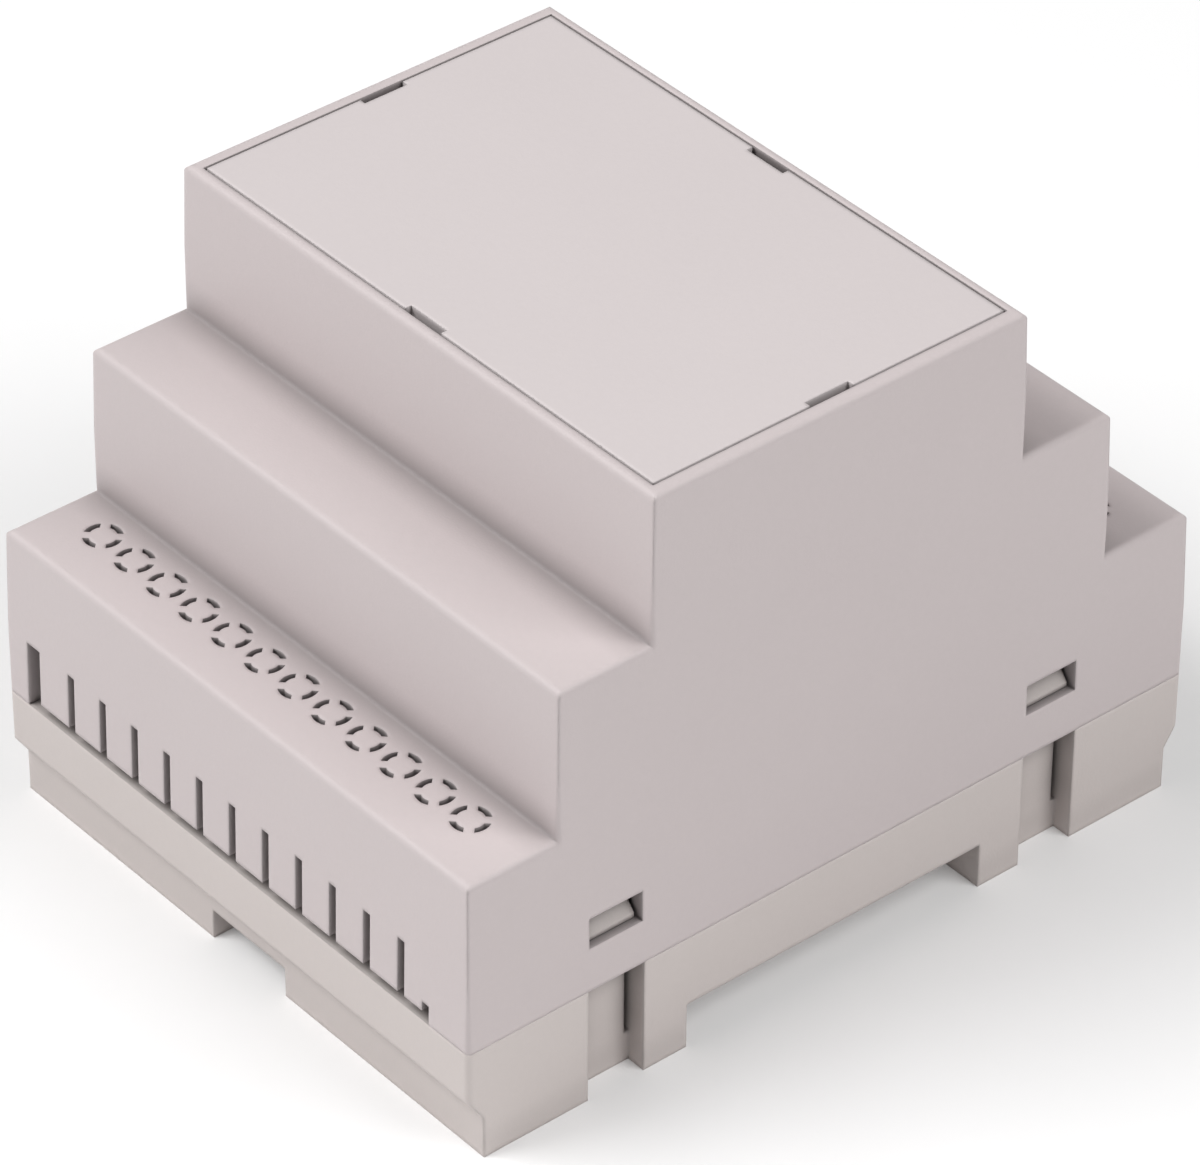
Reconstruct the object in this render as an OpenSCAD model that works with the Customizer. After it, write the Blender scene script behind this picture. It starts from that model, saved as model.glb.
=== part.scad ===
// DIN rail enclosure, four modules wide: a base that clips to a 35 mm top-hat rail,
// a three-tier cover that snaps onto the base, a front panel and a sliding rail latch.
// X runs along the rail, Y across it, and Z away from it. Z = 0 is the underside.

/* [Overall size] */
// Width along the rail, at the joint of base and cover
body_w = 71; // [64:0.5:110]
// Depth across the rail, at the joint of base and cover
body_d = 90; // [86:0.5:120]
// Height of the base, from the underside to the joint
base_h = 13.3; // [12:0.1:18]
// Height of the terminal tier, from the joint up
terminal_h = 19.3; // [14:0.1:30]
// Height of the shoulder tier
shoulder_h = 16.6; // [8:0.1:30]
// Height of the nose tier, which carries the front panel
nose_h = 16.3; // [8:0.1:30]
// Depth across the shoulder tier, at its top
shoulder_d = 67.4; // [56:0.2:74]
// Depth across the nose tier, at its top
nose_d = 44.9; // [36:0.1:50]

/* [Moulding] */
// Wall of the cover
cover_wall = 1.8; // [1.4:0.1:2.2]
// Wall of the base
base_wall = 2.2; // [1.6:0.1:2.4]
// Thickness of the base's floor
floor_t = 2; // [1.4:0.1:2.8]
// Draft of the cover's walls, in degrees
draft = 1.2; // [0.5:0.1:2]
// Radius of the outer edges
edge_r = 0.6; // [0.3:0.1:0.9]
// Gap between pieces that fit inside one another
fit_gap = 0.2; // [0.1:0.05:0.3]

/* [Base outline] */
// How far the skirt stands in from the joint's outline
skirt_inset = 1.8; // [1:0.1:2.4]
// Height of the upright skirt
skirt_h = 4.8; // [4.6:0.1:5.4]
// Height where the slope above the skirt reaches the full depth
slope_top = 7.5; // [6.5:0.1:9]
// Height of the locating lip above the joint
lip_h = 1.8; // [1:0.1:3]
// Thickness of the locating lip
lip_t = 1.2; // [0.8:0.1:1.6]

/* [Terminal rows] */
// Number of terminals in each row
ways = 12; // [4:1:12]
// Distance between terminals
pitch = 5.08; // [5:0.02:5.1]
// Shift of each row along the rail, to the left as one faces it
row_shift = 0.5; // [0:0.1:1]
// Distance of the knock-outs from the joint's outline
knockout_inset = 7; // [6:0.1:7.6]
// Mean diameter of a knock-out's ring
knockout_d = 3.4; // [3:0.1:3.8]
// Width of a knock-out's cut
knockout_cut = 0.6; // [0.4:0.1:0.8]
// Width of the four webs that hold a knock-out
knockout_web = 1; // [0.6:0.1:1.4]
// Height of the break-off tabs below the knock-outs
tab_h = 6.4; // [4:0.1:10]
// Thickness of the break-off tabs
tab_t = 1.2; // [0.8:0.1:1.4]
// Width of the slots between the tabs
tab_slot = 1; // [0.6:0.1:1.4]
// Width of the first slot of a row
first_slot = 2; // [1:0.1:2.4]
// Gap between the tabs and the base
tab_gap = 1.1; // [0.6:0.1:2]
// Distance from a knock-out's centre to the slots beside it
slot_offset = 1.8; // [1.6:0.1:2.4]

/* [Snap hooks] */
// Distance of each hook from the middle, across the rail
hook_y = 27.3; // [26:0.1:29]
// Width of a spring tongue and its hook
tongue_w = 5.6; // [4:0.1:6]
// Thickness of a spring tongue
tongue_t = 1.6; // [1.2:0.1:2]
// Height above the floor of the root that ties a tongue to its end wall
root_rise = 1.5; // [1:0.1:3]
// How far a hook stands out of its tongue
hook_reach = 1.3; // [0.8:0.1:1.6]
// Height of a hook
hook_h = 2.1; // [1.4:0.1:2.6]
// Width of the channel in front of a tongue
channel_w = 6.8; // [6.4:0.1:8]
// Height of a window's sill above the joint
sill_h = 5; // [3:0.1:7]
// Width of a window
window_w = 6.4; // [6:0.1:8]
// Height of a window
window_h = 3.5; // [3:0.1:4.5]

/* [Rail seat] */
// Width of the rail
rail_w = 35; // [35:35]
// Thickness of the rail's edges
rail_t = 1; // [1:0.1:1.5]
// Width of the recess that takes the rail
recess_w = 37.2; // [36.8:0.1:38]
// Depth of the recess that takes the rail
recess_h = 5.2; // [4.9:0.1:6]
// How far hooks and latch reach under the rail's edges
rail_grip = 1.8; // [1.2:0.1:2.4]
// Gap between the rail and what holds it
rail_gap = 0.2; // [0.1:0.05:0.4]
// Length of a fixed rail hook
rail_hook_w = 16; // [8:0.5:20]
// Distance of each fixed rail hook from the middle, along the rail
rail_hook_x = 19; // [12:0.5:22]

/* [Rail latch] */
// Width of the latch's groove and of its notch in the skirt
groove_w = 11.2; // [9:0.1:13]
// Height of the notch in the skirt
notch_h = 3.4; // [3:0.1:4]
// Travel of the latch
latch_travel = 4; // [3:0.1:4.4]
// Thickness of the latch
latch_t = 3; // [2.4:0.1:3.1]
// Running gap around the latch
latch_gap = 0.3; // [0.2:0.05:0.4]
// How far the latch's tail stands back in its notch
tail_inset = 3.5; // [3:0.1:4.4]
// Width of the ledges that keep the latch in its groove
ledge_w = 1; // [0.6:0.1:1.4]
// Thickness of those ledges
ledge_t = 0.7; // [0.5:0.1:0.9]
// Thickness of the latch's two spring beams
beam_t = 1.1; // [0.8:0.1:1.4]
// Length of the latch's spring beams
beam_l = 11; // [9:0.5:12]
// How far the beams' bumps stand out
bump = 0.7; // [0.5:0.1:0.9]

/* [Front panel] */
// Width of the rim at the panel's two ends
rim_x = 1.5; // [1.1:0.1:2.4]
// Width of the rim along the panel's two sides
rim_y = 1.1; // [1:0.1:2]
// Thickness of the panel
panel_t = 1.6; // [1.2:0.1:2]
// Gap around the panel
panel_gap = 0.25; // [0.15:0.05:0.35]
// Width of the ledge that carries the panel
seat_w = 1.6; // [1:0.1:2.4]
// Thickness of the ledge that carries the panel
seat_t = 1.4; // [1:0.1:2]
// Length of the lever notches
lever_l = 5.2; // [3:0.1:8]
// Depth of the lever notches
lever_d = 0.7; // [0.4:0.1:1]
// Depth of the panel's locating ribs
rib_h = 3; // [2:0.1:5]
// Thickness of the panel's locating ribs
rib_t = 1.2; // [0.8:0.1:1.6]

/* [Board supports] */
// Spacing of the board screws along the rail
board_x = 55; // [44:0.5:56]
// Spacing of the board screws across the rail
board_y = 74; // [66:0.5:75]
// Diameter of a board post
post_d = 6; // [5:0.1:7]
// Diameter of a post's screw hole
screw_d = 2.5; // [2:0.1:3]
// Depth of a post's screw hole
screw_l = 7; // [4:0.5:8]
// Distance from the posts' tops down to the joint
post_drop = 1.5; // [0.5:0.1:3]

/* [Hidden] */
$fn = 48;
eps = 1;

shell_colour = [0.83, 0.80, 0.79];
base_colour = [0.79, 0.76, 0.75];
panel_colour = [0.86, 0.84, 0.83];
latch_colour = [0.70, 0.68, 0.67];

half_w = body_w / 2;
half_d = body_d / 2;
skirt_y = half_d - skirt_inset;
inner_x = half_w - base_wall;
recess_y = recess_w / 2;
taper = tan(draft);

terminal_top = base_h + terminal_h;
tier_overlap = 1;
shoulder_top = terminal_top + shoulder_h;
body_h = shoulder_top + nose_h;

// Half widths of the cover, and half depths of its tiers, at a height z
function cover_x(z) = half_w - (z - base_h) * taper;
function terminal_y(z) = half_d - (z - base_h) * taper;
function shoulder_y(z) = shoulder_d / 2 + (shoulder_top - z) * taper;
function nose_y(z) = nose_d / 2 + (body_h - z) * taper;

// Front panel and the seat that carries it
panel_z = body_h - panel_t;
open_x = cover_x(body_h) - rim_x;
open_y = nose_y(body_h) - rim_y;
seat_x = open_x - seat_w;
seat_y = open_y - seat_w;
rib_corner = 6;

// Snap hooks: the tongue's outer face lies flush with the base wall's inner face
tongue_x = inner_x;
sill_z = base_h + sill_h;
hook_z = sill_z + fit_gap;
tongue_top = hook_z + hook_h;
tongue_root = floor_t + root_rise;
cheek_t = 1.2;

// Rail seat
grip_y = rail_w / 2 - rail_grip;
grip_z = recess_h - rail_t - rail_gap;
rail_stop = rail_w / 2 + rail_gap;
grip_root = 0.8;
grip_nose = 1.6;

// Latch, at rest
groove_top = skirt_h;
latch_top = groove_top - latch_gap;
latch_low = latch_top - latch_t;
latch_x = groove_w / 2 - latch_gap;
tail_y = -(skirt_y - tail_inset);
latch_shoulder = -(recess_y - latch_gap);
ledge_top = latch_low - latch_gap;
tail_top = notch_h - latch_gap;
tail_step = -(skirt_y - base_wall - latch_travel - latch_gap);
beam_y = (tail_step + latch_shoulder) / 2;
beam_slit = 0.9;
bump_l = 1.6;
pocket_l = latch_travel + bump_l + 2 * bump + 2 * latch_gap;
driver_w = 5;
driver_l = 1.6;

post_top = base_h - post_drop;
post_z = post_top - screw_l;

// Draws a flat outline in the YZ plane and extrudes it along X, centred
module along_x(length) {
    rotate([90, 0, 90])
        linear_extrude(length, center = true)
            children();
}

// Draws a flat outline in the XZ plane and extrudes it along Y, centred
module along_y(length) {
    rotate([90, 0, 0])
        linear_extrude(length, center = true)
            children();
}

// Box centred on X and Y, standing on z
module block(size, at) {
    translate([at[0] - size[0] / 2, at[1] - size[1] / 2, at[2]])
        cube(size);
}

// Rectangle with rounded corners
module rounded_plan(width, depth, radius) {
    square([width - 2 * radius, depth], center = true);
    square([width, depth - 2 * radius], center = true);
    for (x = [-1, 1], y = [-1, 1])
        translate([x * (width / 2 - radius), y * (depth / 2 - radius)])
            circle(radius);
}

// Outline that narrows upwards by the draft, with its two top corners rounded
module drafted_outline(foot, height, radius) {
    rise = height - radius;
    centre = foot - (radius + rise * sin(draft)) / cos(draft);
    side = [centre + radius * cos(draft), rise + radius * sin(draft)];
    polygon([
        [-foot, 0], [foot, 0],
        side, [centre, height],
        [-centre, height], [-side[0], side[1]],
    ]);
    for (x = [-centre, centre])
        translate([x, rise])
            circle(radius);
}

// Block with drafted sides and rounded outer edges, from z up to top
module tier(foot_x, foot_y, z, top) {
    height = top - z;
    translate([0, 0, z])
        intersection() {
            along_x(2 * foot_x) drafted_outline(foot_y, height, edge_r);
            along_y(2 * foot_y) drafted_outline(foot_x, height, edge_r);
            linear_extrude(height) rounded_plan(2 * foot_x, 2 * foot_y, edge_r);
        }
}

// Plain drafted block, for the hollow inside a tier
module hollow(foot_x, foot_y, z, top) {
    height = top - z;
    top_x = foot_x - height * taper;
    top_y = foot_y - height * taper;
    translate([0, 0, z])
        intersection() {
            along_x(2 * foot_x)
                polygon([[-foot_y, 0], [foot_y, 0], [top_y, height], [-top_y, height]]);
            along_y(2 * foot_y)
                polygon([[-foot_x, 0], [foot_x, 0], [top_x, height], [-top_x, height]]);
        }
}

// Repeats a feature at the four snap hooks, each turned to face outwards along +X
module at_hooks() {
    for (side = [0, 180], y = [-hook_y, hook_y])
        rotate([0, 0, side])
            translate([0, y, 0])
                children();
}

// Ring cut by four webs, which holds a round knock-out in the wall
module knockout_ring() {
    difference() {
        circle((knockout_d + knockout_cut) / 2);
        circle((knockout_d - knockout_cut) / 2);
        for (turn = [45, 135])
            rotate(turn)
                square([2 * knockout_d, knockout_web], center = true);
    }
}

// Knock-outs and break-off tabs of one terminal row, on the -Y side
module terminal_row() {
    first_x = -(ways - 1) / 2 * pitch - row_shift;
    slot_top = base_h + tab_gap + tab_h;
    comb_from = first_x - slot_offset - first_slot;
    comb_to = first_x + (ways - 1) * pitch + slot_offset + tab_slot / 2;
    comb_w = comb_to - comb_from;
    comb_x = (comb_from + comb_to) / 2;
    inside_y = half_d - tab_t;
    for (i = [0 : ways - 1])
        translate([first_x + i * pitch, knockout_inset - half_d, terminal_top - 2 * cover_wall])
            linear_extrude(3 * cover_wall)
                knockout_ring();
    block([first_slot, 4 * cover_wall, slot_top - base_h + eps],
          [comb_from + first_slot / 2, -half_d, base_h - eps]);
    for (i = [1 : ways - 1])
        block([tab_slot, 4 * cover_wall, slot_top - base_h + eps],
              [first_x + i * pitch - slot_offset, -half_d, base_h - eps]);
    // Gap below the tabs, with a short slot at its far end
    block([comb_w, 4 * cover_wall, tab_gap + eps], [comb_x, -half_d, base_h - eps]);
    block([tab_slot, 4 * cover_wall, 2 * tab_gap + eps],
          [comb_to - tab_slot / 2, -half_d, base_h - eps]);
    // The wall is thinner behind the tabs, so that they break off
    block([comb_w, cover_wall, slot_top - base_h + eps],
          [comb_x, -inside_y + cover_wall / 2, base_h - eps]);
}

// Cover: three drafted tiers, hollow and open below, with a rebated front opening
module cover() {
    shoulder_foot = terminal_top - tier_overlap;
    nose_foot = shoulder_top - tier_overlap;
    color(shell_colour)
        difference() {
            union() {
                tier(half_w, half_d, base_h, terminal_top);
                tier(cover_x(shoulder_foot), shoulder_y(shoulder_foot), shoulder_foot, shoulder_top);
                tier(cover_x(nose_foot), nose_y(nose_foot), nose_foot, body_h);
            }
            // Hollow of each tier
            hollow(cover_x(base_h - eps) - cover_wall, terminal_y(base_h - eps) - cover_wall,
                   base_h - eps, terminal_top - cover_wall);
            hollow(cover_x(base_h) - cover_wall, shoulder_y(base_h) - cover_wall,
                   base_h, shoulder_top - cover_wall);
            hollow(cover_x(base_h) - cover_wall, nose_y(base_h) - cover_wall,
                   base_h, panel_z - seat_t);
            // Opening for the front panel, and the rebate that it lies in
            block([2 * seat_x, 2 * seat_y, nose_h], [0, 0, shoulder_top]);
            block([2 * open_x, 2 * open_y, panel_t + eps], [0, 0, panel_z]);
            // Windows for the snap hooks
            at_hooks()
                block([4 * cover_wall, window_w, window_h], [half_w, 0, sill_z]);
            // Terminal rows on both sides
            for (turn = [0, 180])
                rotate([0, 0, turn])
                    terminal_row();
        }
}

// Outline of the base, across the rail
module base_outline() {
    polygon([
        [-skirt_y, 0], [-skirt_y, skirt_h], [-half_d, slope_top], [-half_d, base_h],
        [half_d, base_h], [half_d, slope_top], [skirt_y, skirt_h], [skirt_y, 0],
    ]);
}

// Outline of the base's hollow: two wells with a raised floor over the rail between them
module base_hollow_outline() {
    well_y = recess_y + base_wall;
    half = [
        [well_y, recess_h + floor_t],
        [well_y, floor_t],
        [skirt_y - base_wall, floor_t],
        [skirt_y - base_wall, skirt_h],
        [half_d - base_wall, slope_top],
        [half_d - base_wall, base_h + eps],
    ];
    polygon(concat(half, [for (i = [len(half) - 1 : -1 : 0]) [-half[i][0], half[i][1]]]));
}

// Spring tongue with its hook, standing at the base's end wall
module snap_tongue() {
    translate([tongue_x - tongue_t, -tongue_w / 2, 0])
        cube([tongue_t, tongue_w, tongue_top]);
    along_y(tongue_w)
        polygon([
            [tongue_x - tongue_t / 2, hook_z],
            [tongue_x + hook_reach, hook_z],
            [tongue_x + hook_reach, hook_z + hook_h / 4],
            [tongue_x, tongue_top],
            [tongue_x - tongue_t / 2, tongue_top],
        ]);
    // Root that ties the tongue to the end wall, and a cheek on each side of the channel
    block([tongue_t, channel_w + 2 * cheek_t, tongue_root], [tongue_x - tongue_t / 2, 0, 0]);
    for (side = [-1, 1])
        block([tongue_t, cheek_t, base_h],
              [tongue_x - tongue_t / 2, side * (channel_w + cheek_t) / 2, 0]);
}

// Locating lip along an end wall, cut away where the tongues stand
module end_lip() {
    lip_x = half_w - cover_wall - fit_gap;
    lip_y = half_d - cover_wall - fit_gap;
    low = base_h - lip_h;
    difference() {
        block([lip_t, 2 * lip_y, 2 * lip_h], [lip_x - lip_t / 2, 0, low]);
        for (y = [-hook_y, hook_y])
            block([4 * lip_t, channel_w + 2 * fit_gap, 2 * lip_h + 2 * eps], [lip_x, y, low - eps]);
    }
}

// Fixed hooks on the +Y side of the rail recess
module rail_hooks() {
    for (x = [-rail_hook_x, rail_hook_x])
        translate([x, 0, 0])
            along_x(rail_hook_w)
                polygon([
                    [recess_y + base_wall / 2, grip_root],
                    [rail_stop, grip_root],
                    [grip_y, grip_z - grip_nose],
                    [grip_y, grip_z],
                    [rail_stop, grip_z],
                    [rail_stop, recess_h + floor_t / 2],
                    [recess_y + base_wall / 2, recess_h + floor_t / 2],
                ]);
}

// Posts for the board, each with a blind screw hole
module board_posts() {
    for (x = [-1, 1], y = [-1, 1])
        translate([x * board_x / 2, y * board_y / 2, 0])
            difference() {
                translate([0, 0, floor_t / 2])
                    cylinder(d = post_d, h = post_top - floor_t / 2);
                translate([0, 0, post_z])
                    cylinder(d = screw_d, h = screw_l + eps);
            }
}

// Groove that the rail latch runs in, open to the rail recess and to a notch in the skirt
module latch_groove() {
    inside_y = skirt_y - base_wall;
    block([groove_w, inside_y - recess_y + eps, groove_top + eps],
          [0, -(inside_y + recess_y - eps) / 2, -eps]);
    block([groove_w, half_d - inside_y + 2 * eps, notch_h + eps],
          [0, -(half_d + inside_y) / 2, -eps]);
    // Pockets, in which the latch's bumps run from stop to stop
    block([groove_w + 2 * (bump + latch_gap), pocket_l, groove_top - ledge_top],
          [0, beam_y - latch_travel / 2, ledge_top]);
}

// Ledges that keep the latch up in its groove
module latch_ledges() {
    inside_y = skirt_y - base_wall;
    for (side = [-1, 1])
        block([2 * ledge_w, inside_y - recess_y, ledge_t],
              [side * groove_w / 2, -(inside_y + recess_y) / 2, ledge_top - ledge_t]);
}

// Base: floor, wells, end walls with spring tongues, rail recess and latch groove
module base() {
    casing_l = skirt_y - recess_y;
    color(base_colour) {
        difference() {
            union() {
                difference() {
                    intersection() {
                        along_x(body_w) base_outline();
                        linear_extrude(base_h) rounded_plan(body_w, body_d, edge_r);
                    }
                    along_x(2 * inner_x) base_hollow_outline();
                    at_hooks()
                        block([2 * base_wall, channel_w, base_h + 2 * eps], [half_w, 0, -eps]);
                }
                at_hooks() snap_tongue();
                for (side = [0, 180])
                    rotate([0, 0, side]) end_lip();
                board_posts();
                // Casing over the latch's groove
                block([groove_w + 2 * base_wall, casing_l, groove_top + floor_t],
                      [0, -recess_y - casing_l / 2, 0]);
            }
            // Recess for the rail
            block([body_w + 2 * eps, recess_w, recess_h + eps], [0, 0, -eps]);
            latch_groove();
        }
        latch_ledges();
        rail_hooks();
    }
}

// Outline of the latch across the rail: tail, body and the nose that goes under the rail
module latch_outline() {
    polygon([
        [tail_y, latch_low], [latch_shoulder, latch_low],
        [-grip_y, grip_z - grip_nose], [-grip_y, grip_z],
        [latch_shoulder, grip_z], [latch_shoulder, latch_top],
        [tail_step, latch_top], [tail_step, tail_top], [tail_y, tail_top],
    ]);
}

// Rail latch: a slider with a spring beam on each side and a slot for a screwdriver
module rail_latch() {
    color(latch_colour)
        difference() {
            union() {
                along_x(2 * latch_x) latch_outline();
                // Bumps that stop the latch at both ends of its travel
                for (side = [-1, 1])
                    translate([side * latch_x, beam_y, latch_low])
                        linear_extrude(latch_t)
                            polygon([
                                [0, -bump_l / 2 - bump], [side * bump, -bump_l / 2],
                                [side * bump, bump_l / 2], [0, bump_l / 2 + bump],
                                [-side * beam_t / 2, 0],
                            ]);
            }
            // Slits that free the spring beams
            for (side = [-1, 1])
                block([beam_slit, beam_l, latch_t + 2 * eps],
                      [side * (latch_x - beam_t - beam_slit / 2), beam_y, latch_low - eps]);
            // Screwdriver slot in the tail
            block([driver_w, driver_l, latch_t + 2 * eps],
                  [0, (tail_y + tail_step) / 2, latch_low - eps]);
        }
}

// Front panel: a flush plate with a lever notch in each edge and ribs that locate it
module front_panel() {
    plate_x = open_x - panel_gap;
    plate_y = open_y - panel_gap;
    rib_x = seat_x - fit_gap;
    rib_y = seat_y - fit_gap;
    color(panel_colour) {
        difference() {
            block([2 * plate_x, 2 * plate_y, panel_t], [0, 0, panel_z]);
            for (side = [-1, 1]) {
                block([2 * lever_d, lever_l, panel_t + 2 * eps], [side * plate_x, 0, panel_z - eps]);
                block([lever_l, 2 * lever_d, panel_t + 2 * eps], [0, side * plate_y, panel_z - eps]);
            }
        }
        // Locating ribs, interrupted at the corners
        for (side = [-1, 1]) {
            block([rib_t, 2 * (rib_y - rib_corner), rib_h],
                  [side * (rib_x - rib_t / 2), 0, panel_z - rib_h]);
            block([2 * (rib_x - rib_corner), rib_t, rib_h],
                  [0, side * (rib_y - rib_t / 2), panel_z - rib_h]);
        }
    }
}

base();
cover();
front_panel();
rail_latch();
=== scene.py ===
"""Dressed scene of a four-module DIN rail enclosure: a snap-on cover over a base,
a front panel that is levered out, and a latch that slides across the rail."""

import logging
import math
from dataclasses import dataclass, field, fields
from enum import Enum
from typing import ClassVar

import bpy
from mathutils import Matrix, Vector


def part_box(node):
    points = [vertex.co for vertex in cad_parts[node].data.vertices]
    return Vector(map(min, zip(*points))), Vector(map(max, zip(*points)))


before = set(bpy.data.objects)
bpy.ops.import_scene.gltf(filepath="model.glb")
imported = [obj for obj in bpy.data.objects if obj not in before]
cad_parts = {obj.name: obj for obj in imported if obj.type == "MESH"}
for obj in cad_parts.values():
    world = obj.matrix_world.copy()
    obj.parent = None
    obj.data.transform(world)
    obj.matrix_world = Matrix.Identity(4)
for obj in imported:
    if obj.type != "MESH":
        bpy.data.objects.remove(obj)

LOG = logging.getLogger("enclosure")
MM = 0.001

WHITE = (1.0, 1.0, 1.0, 1.0)

# Sizes of the shared effects' noise, in features per metre
SLOW_ROUGHNESS = 60.0
FLOW_MARKS = 35.0
SPECKS = 1500.0

# How the layers of noise are weighed against one another
COARSE_SCALE = 0.3
COARSE_WEIGHT = 0.5
SPECK_WEIGHT = 0.5
MEAN_NOISE = 0.5
EDGE_GAIN = 5.0

Colour = tuple[float, float, float]
Effects = dict[str, bpy.types.ShaderNodeTree]
Socketed = bpy.types.NodeSocket | float


class Body(Enum):
    """Rigid bodies of the enclosure."""

    CASE = "case"
    PANEL = "panel"
    LATCH = "latch"


class Socket(Enum):
    """Kinds of socket that the effect groups use."""

    NUMBER = "NodeSocketFloat"
    COLOUR = "NodeSocketColor"
    VECTOR = "NodeSocketVector"


def deselect_all() -> None:
    """Leaves nothing selected, so that the next operator acts on its own piece alone."""
    bpy.ops.object.select_all(action="DESELECT")


def rgba(colour: Colour) -> tuple[float, float, float, float]:
    """Gives a colour an alpha of one."""
    return (*colour, 1.0)


def direction(azimuth: float, elevation: float) -> Vector:
    """Works out a direction from two angles.

    Args:
        azimuth: the turn from +X towards +Y, in degrees.
        elevation: the height above the ground, in degrees.

    Returns:
        A vector of length one.
    """
    turn, lift = math.radians(azimuth), math.radians(elevation)
    level = math.cos(lift)
    return Vector((math.cos(turn) * level, math.sin(turn) * level, math.sin(lift)))


@dataclass
class EffectGroup:
    """A shader node group with named inputs and outputs, under construction.

    Attributes:
        name: the group's name.
        tree: the group's nodes.
    """

    name: str
    tree: bpy.types.ShaderNodeTree = field(init=False)

    def __post_init__(self) -> None:
        """Makes the empty group."""
        self.tree = bpy.data.node_groups.new(self.name, "ShaderNodeTree")

    def takes(self, name: str, kind: Socket, value: float | None = None) -> None:
        """Adds an input to the group.

        Args:
            name: the input's name.
            kind: what it carries.
            value: its value where nothing is linked to it.
        """
        made = self.tree.interface.new_socket(name=name, in_out="INPUT", socket_type=kind.value)
        if value is not None:
            made.default_value = value

    def gives(self, name: str, kind: Socket) -> None:
        """Adds an output to the group.

        Args:
            name: the output's name.
            kind: what it carries.
        """
        self.tree.interface.new_socket(name=name, in_out="OUTPUT", socket_type=kind.value)

    def node(self, kind: str, **settings: object) -> bpy.types.Node:
        """Adds a node.

        Args:
            kind: the node's type.
            settings: its properties.

        Returns:
            The new node.
        """
        made = self.tree.nodes.new(kind)
        for name, value in settings.items():
            setattr(made, name, value)
        return made

    def set(self, end: bpy.types.NodeSocket, value: Socketed) -> None:
        """Links a socket into an input, or writes a number into it.

        Args:
            end: the input.
            value: a socket or a number.
        """
        if isinstance(value, bpy.types.NodeSocket):
            self.link(value, end)
        else:
            end.default_value = value

    def math(self, operation: str, first: Socketed, second: Socketed) -> bpy.types.NodeSocket:
        """Adds a Math node.

        Args:
            operation: what it works out.
            first: its first value.
            second: its second value.

        Returns:
            The node's output.
        """
        made = self.node("ShaderNodeMath", operation=operation)
        for place, value in enumerate((first, second)):
            self.set(made.inputs[place], value)
        return made.outputs["Value"]

    def scaled(self, colour: bpy.types.NodeSocket,
               level: bpy.types.NodeSocket) -> bpy.types.NodeSocket:
        """Makes a colour lighter or darker.

        Args:
            colour: the colour.
            level: the factor.

        Returns:
            The new colour.
        """
        made = self.node("ShaderNodeVectorMath", operation="SCALE")
        self.link(colour, made.inputs[0])
        self.link(level, made.inputs["Scale"])
        return made.outputs["Vector"]

    def noise(self, vector: bpy.types.NodeSocket, scale: Socketed,
              detail: float) -> bpy.types.NodeSocket:
        """Adds a Noise node.

        Args:
            vector: the coordinates that it reads.
            scale: features per metre.
            detail: how many finer layers it has.

        Returns:
            Its factor.
        """
        made = self.node("ShaderNodeTexNoise")
        made.inputs["Detail"].default_value = detail
        self.link(vector, made.inputs["Vector"])
        self.set(made.inputs["Scale"], scale)
        return made.outputs["Fac"]

    def link(self, start: bpy.types.NodeSocket, end: bpy.types.NodeSocket) -> None:
        """Links two sockets.

        Args:
            start: an output.
            end: an input.
        """
        self.tree.links.new(start, end)


def grain_group() -> bpy.types.ShaderNodeTree:
    """Grain of a mould: fine pits, and a roughness that varies slowly over them.

    Returns:
        The group, which puts out a height and a roughness.
    """
    group = EffectGroup("Mould Grain")
    group.takes("Vector", Socket.VECTOR)
    group.takes("Grains per Metre", Socket.NUMBER, 4000.0)
    group.takes("Roughness", Socket.NUMBER, 0.5)
    group.takes("Roughness Spread", Socket.NUMBER, 0.1)
    group.gives("Height", Socket.NUMBER)
    group.gives("Roughness", Socket.NUMBER)
    given = group.node("NodeGroupInput")
    result = group.node("NodeGroupOutput")
    place, grains = given.outputs["Vector"], given.outputs["Grains per Metre"]
    fine = group.noise(place, grains, detail=3.0)
    coarse = group.noise(place, group.math("MULTIPLY", grains, COARSE_SCALE), detail=2.0)
    height = group.math("ADD", fine, group.math("MULTIPLY", coarse, COARSE_WEIGHT))
    group.link(height, result.inputs["Height"])
    slow = group.noise(place, SLOW_ROUGHNESS, detail=4.0)
    centred = group.math("SUBTRACT", slow, MEAN_NOISE)
    swing = group.math("MULTIPLY", centred, given.outputs["Roughness Spread"])
    roughness = group.math("ADD", given.outputs["Roughness"], swing)
    group.link(roughness, result.inputs["Roughness"])
    return group.tree


def edge_group() -> bpy.types.ShaderNodeTree:
    """Soft moulded edges: a rounded normal, and a mask that is one along the edges.

    Returns:
        The group, which puts out a normal and an edge mask.
    """
    group = EffectGroup("Soft Edge")
    group.takes("Radius", Socket.NUMBER, 0.0003)
    group.gives("Normal", Socket.VECTOR)
    group.gives("Edge", Socket.NUMBER)
    given = group.node("NodeGroupInput")
    result = group.node("NodeGroupOutput")
    rounded = group.node("ShaderNodeBevel", samples=6)
    group.link(given.outputs["Radius"], rounded.inputs["Radius"])
    group.link(rounded.outputs["Normal"], result.inputs["Normal"])
    surface = group.node("ShaderNodeNewGeometry")
    turn = group.node("ShaderNodeVectorMath", operation="DOT_PRODUCT")
    group.link(rounded.outputs["Normal"], turn.inputs[0])
    group.link(surface.outputs["Normal"], turn.inputs[1])
    bend = group.math("SUBTRACT", 1.0, turn.outputs["Value"])
    spread = group.math("MULTIPLY", bend, EDGE_GAIN)
    group.link(group.math("MINIMUM", spread, 1.0), result.inputs["Edge"])
    return group.tree


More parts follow.
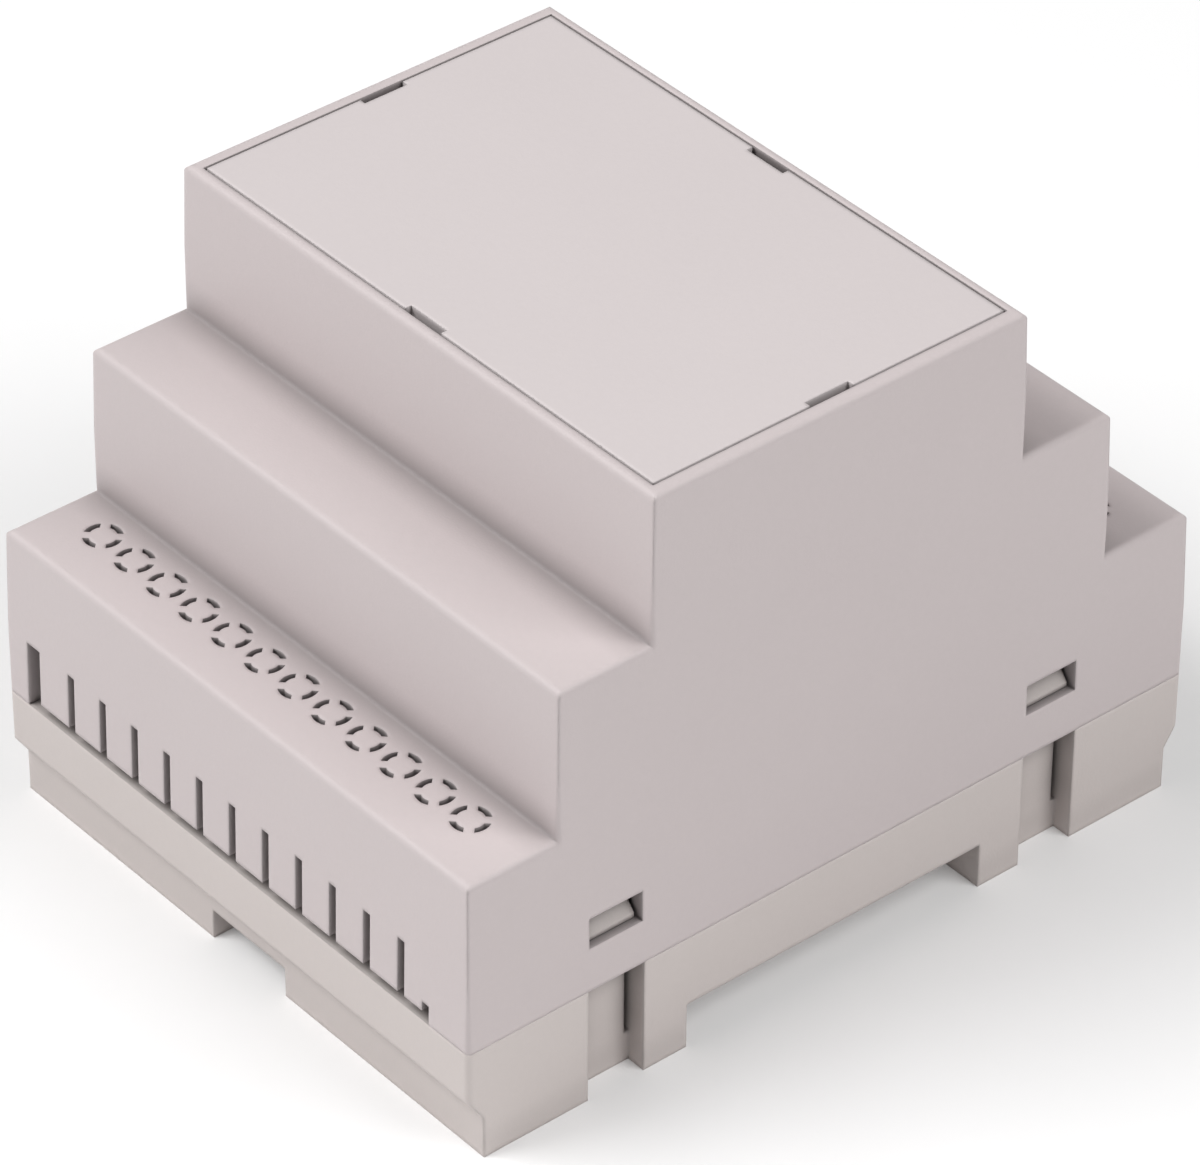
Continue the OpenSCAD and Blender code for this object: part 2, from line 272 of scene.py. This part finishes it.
def tint_group() -> bpy.types.ShaderNodeTree:
    """Colour of a moulded wall: faint flow marks over it, and paler edges, which are a painted
    highlight.

    Returns:
        The group, which puts out a colour.
    """
    group = EffectGroup("Mould Tint and Edge Highlight")
    group.takes("Vector", Socket.VECTOR)
    group.takes("Colour", Socket.COLOUR)
    group.takes("Flow Marks", Socket.NUMBER, 0.03)
    group.takes("Edge", Socket.NUMBER, 0.0)
    group.takes("Edge Lift", Socket.NUMBER, 0.1)
    group.gives("Colour", Socket.COLOUR)
    given = group.node("NodeGroupInput")
    result = group.node("NodeGroupOutput")
    marks = group.noise(given.outputs["Vector"], FLOW_MARKS, detail=3.0)
    specks = group.noise(given.outputs["Vector"], SPECKS, detail=1.0)
    both = group.math("ADD", marks, group.math("MULTIPLY", specks, SPECK_WEIGHT))
    centred = group.math("SUBTRACT", both, MEAN_NOISE * (1 + SPECK_WEIGHT))
    swing = group.math("MULTIPLY", centred, given.outputs["Flow Marks"])
    # Painted highlight: the edge mask makes the colour paler along every edge, as if light caught
    # it there.
    painted_highlight = group.math("MULTIPLY", given.outputs["Edge"], given.outputs["Edge Lift"])
    level = group.math("ADD", group.math("ADD", swing, painted_highlight), 1.0)
    group.link(group.scaled(given.outputs["Colour"], level), result.inputs["Colour"])
    return group.tree


def crevice_group() -> bpy.types.ShaderNodeTree:
    """Shade in narrow slots and at the foot of a riser, where soft light hardly reaches.

    The shade fades out towards the ground, which would otherwise darken the foot of the case.

    Returns:
        The group, which puts out a colour.
    """
    group = EffectGroup("Crevice Shade")
    group.takes("Vector", Socket.VECTOR)
    group.takes("Foot Height", Socket.NUMBER, 0.006)
    group.takes("Colour", Socket.COLOUR)
    group.takes("Reach", Socket.NUMBER, 0.004)
    group.takes("Strength", Socket.NUMBER, 0.5)
    group.gives("Colour", Socket.COLOUR)
    given = group.node("NodeGroupInput")
    result = group.node("NodeGroupOutput")
    nearby = group.node("ShaderNodeAmbientOcclusion", samples=12)
    group.link(given.outputs["Reach"], nearby.inputs["Distance"])
    closed = group.math("SUBTRACT", 1.0, nearby.outputs["AO"])
    place = group.node("ShaderNodeSeparateXYZ")
    group.link(given.outputs["Vector"], place.inputs["Vector"])
    rise = group.math("DIVIDE", place.outputs["Z"], given.outputs["Foot Height"])
    raised = group.math("MINIMUM", group.math("MAXIMUM", rise, 0.0), 1.0)
    strength = group.math("MULTIPLY", raised, given.outputs["Strength"])
    level = group.math("SUBTRACT", 1.0, group.math("MULTIPLY", closed, strength))
    group.link(group.scaled(given.outputs["Colour"], level), result.inputs["Colour"])
    return group.tree


@dataclass(frozen=True)
class MouldedPlastic:
    """Finish of a moulded plastic piece.

    Attributes:
        name: the material's name.
        colour: linear colour of the plastic.
        roughness: mean roughness.
        spread: how far the roughness varies.
        grains: grains of the mould's texture per metre.
        depth: depth of that texture, in metres.
        flow_marks: strength of the faint flow marks.
        edge_radius: radius of the softened edges, in metres.
        edge_lift: how much paler the edges are, a painted highlight.
        crevice_reach: width of the opening that still shades a wall, in metres.
        crevice_shade: how dark a closed crevice gets, from 0 to 1.
    """

    name: str
    colour: Colour
    roughness: float = 0.52
    spread: float = 0.12
    grains: float = 3500.0
    depth: float = 0.02 * MM
    flow_marks: float = 0.05
    edge_radius: float = 0.7 * MM
    edge_lift: float = 0.16
    crevice_reach: float = 4 * MM
    crevice_shade: float = 0.8

    def material(self, effects: Effects) -> bpy.types.Material:
        """Builds the material.

        Args:
            effects: the shared effect groups, by name.

        Returns:
            The new material.
        """
        made = bpy.data.materials.new(self.name)
        made.use_nodes = True
        made.diffuse_color = rgba(self.colour)
        tree = made.node_tree
        shader = tree.nodes["Principled BSDF"]
        shader.inputs["IOR"].default_value = 1.5
        place = tree.nodes.new("ShaderNodeTexCoord").outputs["Object"]

        def effect(name: str, **values: float) -> bpy.types.Node:
            """Places one of the shared groups in this material."""
            node = tree.nodes.new("ShaderNodeGroup")
            node.node_tree = effects[name]
            node.label = name
            for socket, value in values.items():
                node.inputs[socket.replace("_", " ")].default_value = value
            return node

        grain = effect("Mould Grain", Grains_per_Metre=self.grains, Roughness=self.roughness,
                       Roughness_Spread=self.spread)
        edge = effect("Soft Edge", Radius=self.edge_radius)
        tint_and_highlight = effect("Mould Tint and Edge Highlight", Flow_Marks=self.flow_marks, Edge_Lift=self.edge_lift)
        tint_and_highlight.inputs["Colour"].default_value = rgba(self.colour)
        crevice = effect("Crevice Shade", Reach=self.crevice_reach, Strength=self.crevice_shade)
        relief = tree.nodes.new("ShaderNodeBump")
        relief.inputs["Distance"].default_value = self.depth
        for start, end in (
            (place, grain.inputs["Vector"]),
            (place, tint_and_highlight.inputs["Vector"]),
            (place, crevice.inputs["Vector"]),
            (edge.outputs["Edge"], tint_and_highlight.inputs["Edge"]),
            (grain.outputs["Height"], relief.inputs["Height"]),
            (edge.outputs["Normal"], relief.inputs["Normal"]),
            (tint_and_highlight.outputs["Colour"], crevice.inputs["Colour"]),
            (crevice.outputs["Colour"], shader.inputs["Base Color"]),
            (grain.outputs["Roughness"], shader.inputs["Roughness"]),
            (relief.outputs["Normal"], shader.inputs["Normal"]),
        ):
            tree.links.new(start, end)
        return made


COVER_FINISH = MouldedPlastic("cover_plastic", (0.600, 0.535, 0.535))
BASE_FINISH = MouldedPlastic("base_plastic", (0.625, 0.567, 0.546), roughness=0.55)
PANEL_FINISH = MouldedPlastic("panel_plastic", (0.640, 0.585, 0.585), roughness=0.46,
                              depth=0.014 * MM, crevice_shade=0.3)
LATCH_FINISH = MouldedPlastic("latch_plastic", (0.520, 0.468, 0.456), roughness=0.42,
                              edge_radius=0.2 * MM)


@dataclass
class MouldedPart:
    """A moulded piece of the enclosure, whose solid comes from the frame.

    Attributes:
        node: the solid's name in the frame.
        finish: its plastic.
    """

    node: str
    finish: MouldedPlastic

    def build(self) -> bpy.types.Object:
        """Takes the piece's solid from the frame.

        Returns:
            The solid's object.
        """
        low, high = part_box(self.node)
        LOG.info("%s: %.1f x %.1f x %.1f mm", self.node, *((high - low) / MM))
        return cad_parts[self.node]

    def dress(self, effects: Effects) -> None:
        """Gives the solid its plastic.

        Args:
            effects: the shared effect groups, by name.
        """
        solid = self.build()
        made = self.finish.material(effects)
        if not solid.material_slots:
            solid.data.materials.append(made)
        for slot in solid.material_slots:
            slot.material = made
        LOG.info("%s: dressed in %s", self.node, self.finish.name)


@dataclass
class SubAssembly:
    """Pieces of the enclosure that move as one rigid body."""

    body: ClassVar[Body]

    def parts(self) -> list[MouldedPart]:
        """Lists the moulded pieces among the fields."""
        values = (getattr(self, entry.name) for entry in fields(self))
        return [value for value in values if isinstance(value, MouldedPart)]

    def dress(self, effects: Effects) -> None:
        """Dresses every piece.

        Args:
            effects: the shared effect groups, by name.
        """
        for part in self.parts():
            part.dress(effects)
        LOG.info("%s: %d pieces", self.body.value, len(self.parts()))


@dataclass
class Case(SubAssembly):
    """Base that clips to the rail, and the three-tier cover that snaps onto it."""

    body: ClassVar[Body] = Body.CASE
    base: MouldedPart = field(default_factory=lambda: MouldedPart("base", BASE_FINISH))
    cover: MouldedPart = field(default_factory=lambda: MouldedPart("cover", COVER_FINISH))


@dataclass
class FrontPanel(SubAssembly):
    """Flush plate that is levered out of the nose."""

    body: ClassVar[Body] = Body.PANEL
    plate: MouldedPart = field(default_factory=lambda: MouldedPart("front_panel", PANEL_FINISH))


@dataclass
class RailLatch(SubAssembly):
    """Slider that locks the case onto its rail."""

    body: ClassVar[Body] = Body.LATCH
    slider: MouldedPart = field(default_factory=lambda: MouldedPart("rail_latch", LATCH_FINISH))


@dataclass
class Enclosure:
    """The whole product."""

    case: Case = field(default_factory=Case)
    panel: FrontPanel = field(default_factory=FrontPanel)
    latch: RailLatch = field(default_factory=RailLatch)

    def dress(self) -> None:
        """Builds the shared effects and dresses each sub-assembly with them."""
        groups = (grain_group(), edge_group(), tint_group(), crevice_group())
        effects = {group.name: group for group in groups}
        for assembly in (self.case, self.panel, self.latch):
            assembly.dress(effects)


@dataclass(frozen=True)
class SoftLamp:
    """Square soft lamp that looks at the enclosure.

    Attributes:
        name: the lamp's name.
        azimuth: its direction from the enclosure, in degrees from +X towards +Y.
        elevation: its height as an angle, in degrees.
        distance: its distance, in metres.
        size: the length of its sides, in metres.
        power: its power, in watts.
    """

    name: str
    azimuth: float
    elevation: float
    distance: float
    size: float
    power: float

    def build(self) -> bpy.types.Object:
        """Hangs the lamp.

        Returns:
            The lamp.
        """
        light = bpy.data.lights.new(self.name, "AREA")
        light.shape = "SQUARE"
        light.size = self.size
        light.energy = self.power
        made = bpy.data.objects.new(self.name, light)
        away = direction(self.azimuth, self.elevation)
        made.location = away * self.distance
        made.rotation_euler = away.to_track_quat("Z", "Y").to_euler()
        bpy.context.scene.collection.objects.link(made)
        LOG.info("%s: %.1f W", self.name, self.power)
        return made


KEY_LAMP = SoftLamp("key_lamp", azimuth=-122, elevation=51, distance=1.6, size=0.9, power=19.5)
FILL_LAMP = SoftLamp("fill_lamp", azimuth=22, elevation=45, distance=1.8, size=1.0, power=15.5)


@dataclass
class Studio:
    """Plain studio around the enclosure: a pale floor, soft lamps and an even dome.

    Attributes:
        floor_size: length of the floor's sides, in metres.
        floor_colour: linear colour of the floor.
        floor_roughness: roughness of the floor.
        floor_specular: strength of the floor's reflections.
        floor_lift: light that the camera alone sees on the floor, up to white.
        dome_level: strength of the dome's light.
        lamps: the lamps.
    """

    floor_size: float = 6.0
    floor_colour: Colour = (0.84, 0.84, 0.84)
    floor_roughness: float = 0.9
    floor_specular: float = 0.1
    floor_lift: float = 0.12
    dome_level: float = 0.25
    lamps: tuple[SoftLamp, ...] = (KEY_LAMP, FILL_LAMP)

    def seen_lift(self, tree: bpy.types.ShaderNodeTree) -> bpy.types.NodeSocket:
        """Adds the nodes that light the floor for the camera, direct or through a reflection.

        Args:
            tree: the floor's nodes.

        Returns:
            The strength of that light.
        """
        rays = tree.nodes.new("ShaderNodeLightPath")
        seen = rays.outputs["Is Camera Ray"]
        for way in ("Is Glossy Ray", "Is Transmission Ray"):
            either = tree.nodes.new("ShaderNodeMath")
            either.operation = "MAXIMUM"
            tree.links.new(seen, either.inputs[0])
            tree.links.new(rays.outputs[way], either.inputs[1])
            seen = either.outputs["Value"]
        lift = tree.nodes.new("ShaderNodeMath")
        lift.operation = "MULTIPLY"
        lift.inputs[1].default_value = self.floor_lift
        tree.links.new(seen, lift.inputs[0])
        return lift.outputs["Value"]

    def floor(self) -> bpy.types.Object:
        """Lays the floor under the enclosure.

        Returns:
            The floor.
        """
        deselect_all()
        bpy.ops.mesh.primitive_plane_add(size=self.floor_size, location=(0, 0, 0))
        made = bpy.context.object
        made.name = "studio_floor"
        paper = bpy.data.materials.new("studio_paper")
        paper.use_nodes = True
        tree = paper.node_tree
        shader = tree.nodes["Principled BSDF"]
        shader.inputs["Base Color"].default_value = rgba(self.floor_colour)
        shader.inputs["Roughness"].default_value = self.floor_roughness
        shader.inputs["Specular IOR Level"].default_value = self.floor_specular
        shader.inputs["Emission Color"].default_value = WHITE
        tree.links.new(self.seen_lift(tree), shader.inputs["Emission Strength"])
        made.data.materials.append(paper)
        LOG.info("studio_floor: %.1f m square", self.floor_size)
        return made

    def dome(self) -> None:
        """Surrounds the enclosure with even light, and with white for the camera."""
        world = bpy.data.worlds.new("studio_dome")
        world.use_nodes = True
        bpy.context.scene.world = world
        tree = world.node_tree
        lit = tree.nodes["Background"]
        lit.inputs["Color"].default_value = WHITE
        lit.inputs["Strength"].default_value = self.dome_level
        seen = tree.nodes.new("ShaderNodeBackground")
        seen.inputs["Color"].default_value = WHITE
        seen.inputs["Strength"].default_value = 1.0
        rays = tree.nodes.new("ShaderNodeLightPath")
        mix = tree.nodes.new("ShaderNodeMixShader")
        tree.links.new(rays.outputs["Is Camera Ray"], mix.inputs["Fac"])
        tree.links.new(lit.outputs["Background"], mix.inputs[1])
        tree.links.new(seen.outputs["Background"], mix.inputs[2])
        tree.links.new(mix.outputs["Shader"], tree.nodes["World Output"].inputs["Surface"])
        LOG.info("studio_dome: level %.2f", self.dome_level)

    def build(self) -> None:
        """Sets up the floor, the dome and the lamps."""
        self.floor()
        self.dome()
        for lamp in self.lamps:
            lamp.build()


@dataclass
class Viewpoint:
    """Camera over the corner of the enclosure.

    Attributes:
        aim: the point that it looks at, in metres.
        azimuth: its direction from the enclosure, in degrees from +X towards +Y.
        elevation: its height as an angle, in degrees.
        roll: how far it leans, in degrees.
        distance: its distance from the aim, in metres.
        lens: its focal length, in millimetres.
        sensor: the width of its sensor, in millimetres.
        near: the nearest distance that it sees, in metres.
    """

    aim: Vector = field(default_factory=lambda: Vector((1.51, -0.95, 26.65)) * MM)
    azimuth: float = -40.15
    elevation: float = 37.02
    roll: float = 0.38
    distance: float = 0.6678
    lens: float = 207.8
    sensor: float = 36.0
    near: float = 0.01

    def build(self) -> None:
        """Places the camera."""
        back = direction(self.azimuth, self.elevation)
        right = Vector((-back.y, back.x, 0)).normalized()
        upright = Matrix((right, back.cross(right), back)).transposed()
        leaning = upright @ Matrix.Rotation(math.radians(self.roll), 3, "Z")
        data = bpy.data.cameras.new("viewpoint")
        data.lens = self.lens
        data.sensor_width = self.sensor
        data.sensor_fit = "HORIZONTAL"
        data.clip_start = self.near
        made = bpy.data.objects.new("viewpoint", data)
        made.matrix_world = Matrix.Translation(self.aim + back * self.distance) @ leaning.to_4x4()
        bpy.context.scene.collection.objects.link(made)
        bpy.context.scene.camera = made
        LOG.info("viewpoint: azimuth %.1f, elevation %.1f", self.azimuth, self.elevation)


def main() -> None:
    """Builds the studio and dresses the enclosure."""
    logging.basicConfig(level=logging.INFO, format="%(name)s: %(message)s")
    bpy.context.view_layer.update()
    bpy.context.scene.view_settings.view_transform = "Standard"
    Viewpoint().build()
    Studio().build()
    Enclosure().dress()


if __name__ == "__main__":
    main()
